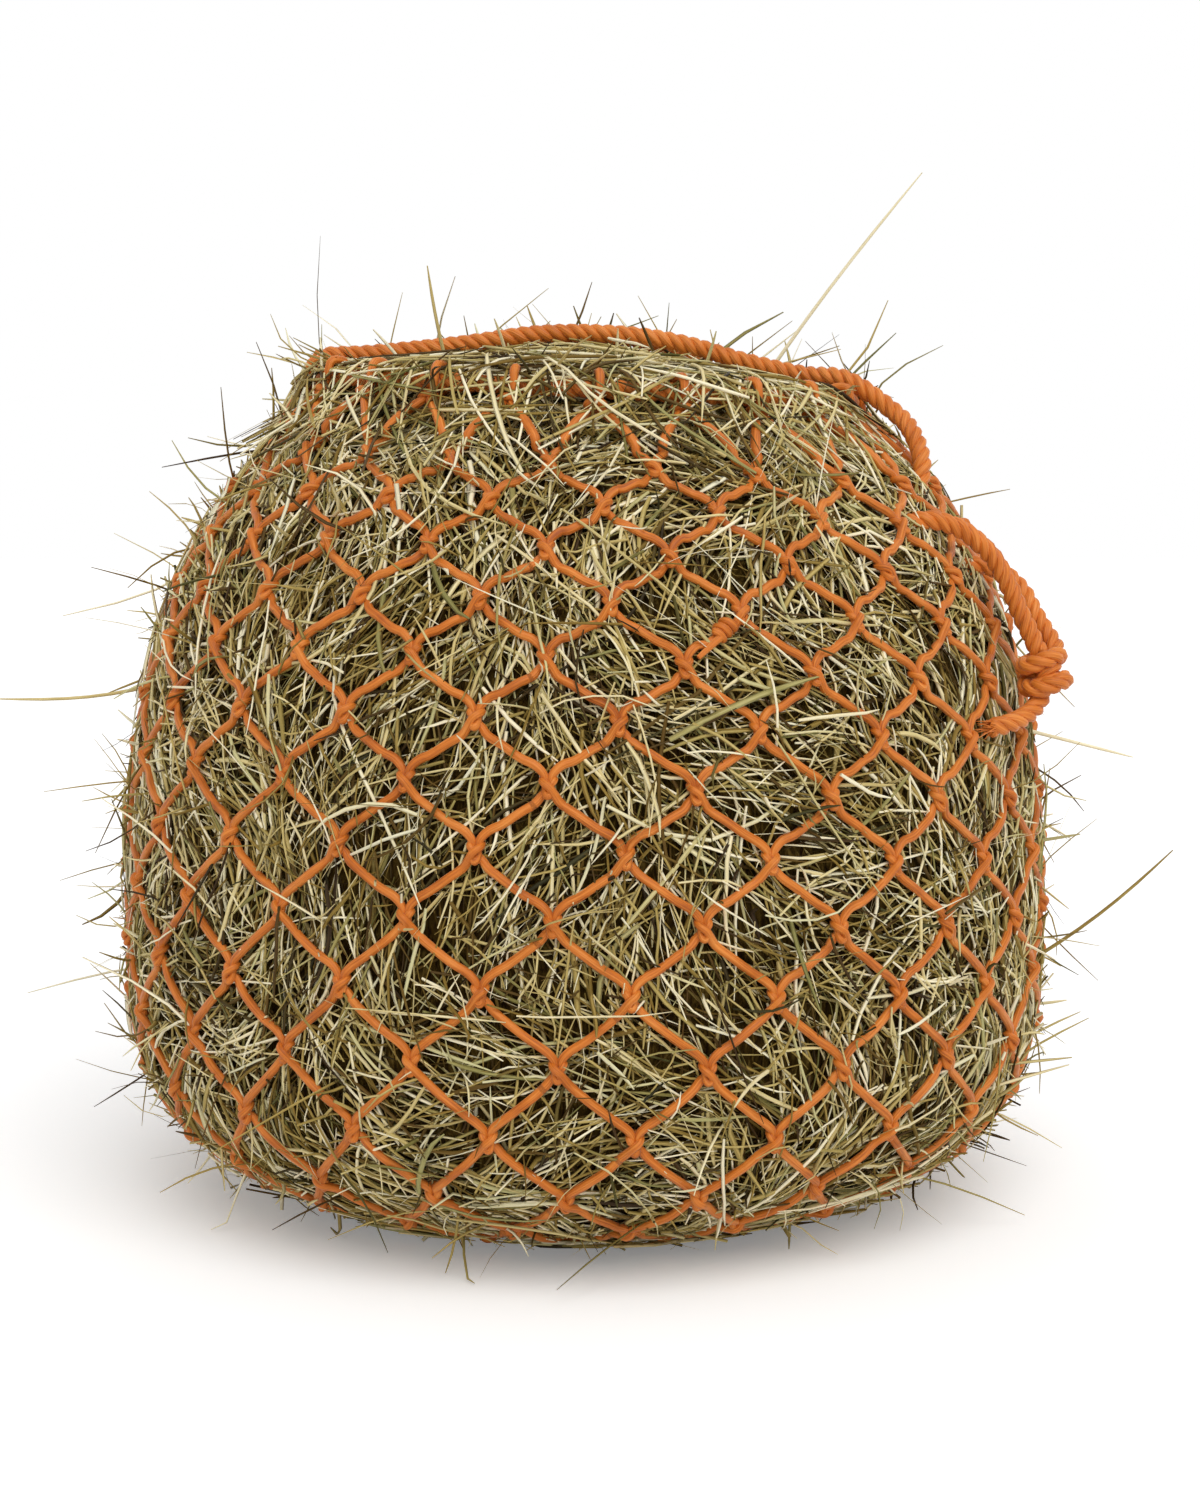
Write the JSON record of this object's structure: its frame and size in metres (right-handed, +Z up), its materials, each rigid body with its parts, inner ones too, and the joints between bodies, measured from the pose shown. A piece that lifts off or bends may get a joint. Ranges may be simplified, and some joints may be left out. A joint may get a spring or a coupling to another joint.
{
  "type": "hay net",
  "caption": "Filled hay net: a knotted diamond-mesh twine bag packed with hay and standing on its base, with a rope drawstring through the rim and a knotted side loop.",
  "frame": {"origin": "middle of the footprint, on the floor", "axes": "+Z up through the mouth, -Y towards the front, +X towards the side with the rope's knot"},
  "size_m": [0.6011, 0.5417, 0.5329],
  "materials": {
    "net_twine": "satin orange polyethylene twine",
    "closing_cord": "satin orange polyethylene cord",
    "drawstring": "three-strand twisted orange rope",
    "hay_core": "packed hay, shaded and rough",
    "hay_crown": "loose hay, rough",
    "loose_hay": "dry pale stems, matt"
  },
  "bodies": {
    "bag": {"hay_core": "hay_core", "hay_crown": "hay_crown", "stems_upper": "loose_hay", "stems_middle": "loose_hay", "stems_lower": "loose_hay", "stems_crown": "loose_hay", "stems_long": "loose_hay", "rim_row": "net_twine", "mesh_row_01": "net_twine", "mesh_row_02": "net_twine", "mesh_row_03": "net_twine", "mesh_row_04": "net_twine", "mesh_row_05": "net_twine", "mesh_row_06": "net_twine", "mesh_row_07": "net_twine", "mesh_row_08": "net_twine", "mesh_row_09": "net_twine", "mesh_row_10": "net_twine", "mesh_row_11": "net_twine", "mesh_row_12": "net_twine", "mesh_row_13": "net_twine", "mesh_row_14": "net_twine", "mesh_row_15": "net_twine", "mesh_row_16": "net_twine", "mesh_row_17": "net_twine", "base_ring": "closing_cord", "join_knot": "net_twine"},
    "drawstring": {"drawstring_ring": "drawstring"},
    "top_strands": {"front_strand": "drawstring", "back_strand": "drawstring"},
    "side_loop": {"side_strand": "drawstring", "rear_strand": "drawstring", "side_knot": "drawstring", "side_tail": "drawstring"}
  },
  "joints": [
    {"name": "drawstring_run", "type": "hinge", "parent": "bag", "child": "drawstring", "pos_m": [0, 0, 0.41967], "axis": [0.0523, 0, 0.9986], "range_deg": [0, 25]},
    {"name": "strands_lift", "type": "hinge", "parent": "bag", "child": "top_strands", "pos_m": [-0.1352, 0.014, 0.437], "axis": [0, -1, 0], "range_deg": [0, 70]},
    {"name": "side_loop_swing", "type": "hinge", "parent": "bag", "child": "side_loop", "pos_m": [0.15952, -0.10086, 0.35992], "axis": [-0.5326, -0.8464, 0], "range_deg": [0, 90]}
  ],
  "couplings": [
    {"joint": "drawstring_run", "follows": "strands_lift", "ratio": 0.35}
  ]
}
